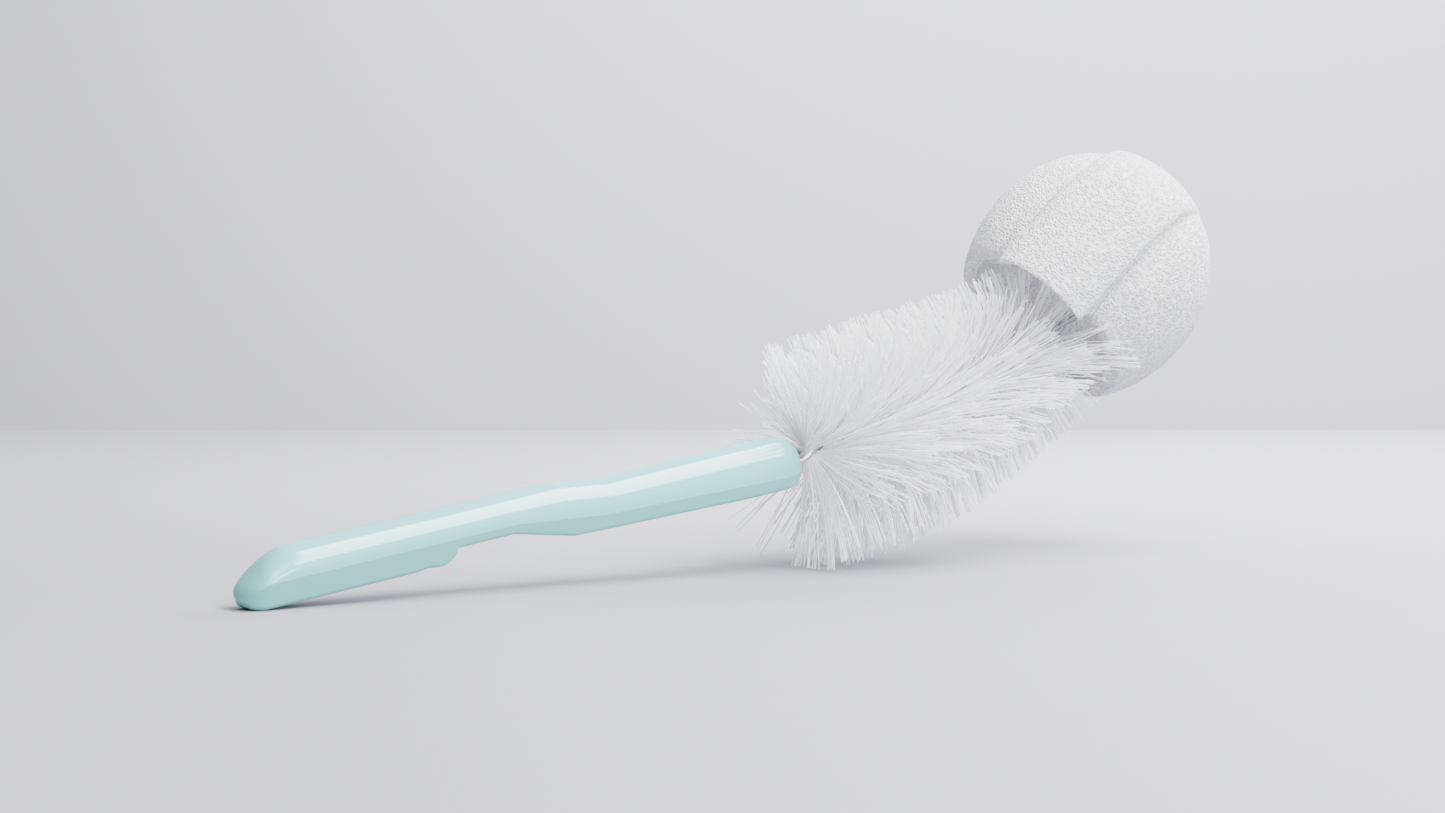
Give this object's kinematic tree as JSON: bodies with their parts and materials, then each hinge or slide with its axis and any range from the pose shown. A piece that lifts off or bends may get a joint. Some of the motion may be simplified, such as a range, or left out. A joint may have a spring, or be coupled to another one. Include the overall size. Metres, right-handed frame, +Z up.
{
  "type": "bottle brush",
  "caption": "Hand brush for bottles: moulded grip, upturned twisted wire stem, radial bristle along it and a foam sponge folded over its tip.",
  "frame": {"origin": "middle of the base of the bounding box, on the surface the brush rests on", "axes": "+X runs level from the tail of the handle towards the sponge, +Z is up, +Y is across the brush"},
  "size_m": [0.2608, 0.0567, 0.0963],
  "materials": {
    "handle_plastic": "gloss",
    "stem_wire": "satin",
    "bristle_nylon": "satin",
    "sponge_foam": "matte"
  },
  "bodies": {
    "root": {"handle": "handle_plastic", "twisted_wire": "stem_wire", "bristle_turn_01": "bristle_nylon", "bristle_turn_02": "bristle_nylon", "bristle_turn_03": "bristle_nylon", "bristle_turn_04": "bristle_nylon", "bristle_turn_05": "bristle_nylon", "bristle_turn_06": "bristle_nylon", "bristle_turn_07": "bristle_nylon", "bristle_turn_08": "bristle_nylon", "bristle_turn_09": "bristle_nylon", "bristle_turn_10": "bristle_nylon", "bristle_turn_11": "bristle_nylon", "bristle_turn_12": "bristle_nylon", "sponge": "sponge_foam"}
  },
  "joints": []
}
